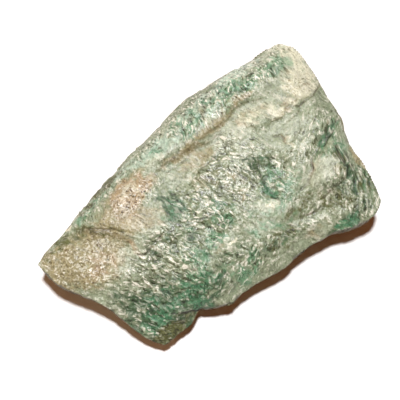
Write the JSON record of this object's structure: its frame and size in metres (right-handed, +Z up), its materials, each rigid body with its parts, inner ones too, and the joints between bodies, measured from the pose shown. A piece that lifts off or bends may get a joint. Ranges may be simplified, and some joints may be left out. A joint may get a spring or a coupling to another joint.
{
  "type": "raw fuchsite stone",
  "caption": "Rough slab of raw green fuchsite mica schist with broken layered edges, a loose stone that lies on its flat underside.",
  "frame": {"origin": "under the middle of the stone's bounding box, on the plane that it lies on", "axes": "+X along the stone to its blunt end, +Y to its long smooth flank, +Z up out of the mica face"},
  "size_m": [0.076, 0.047, 0.0179],
  "materials": {
    "mica_schist": "raw, satin and glittering mica cleavage"
  },
  "bodies": {
    "root": {"raw_fuchsite": "mica_schist"}
  },
  "joints": []
}
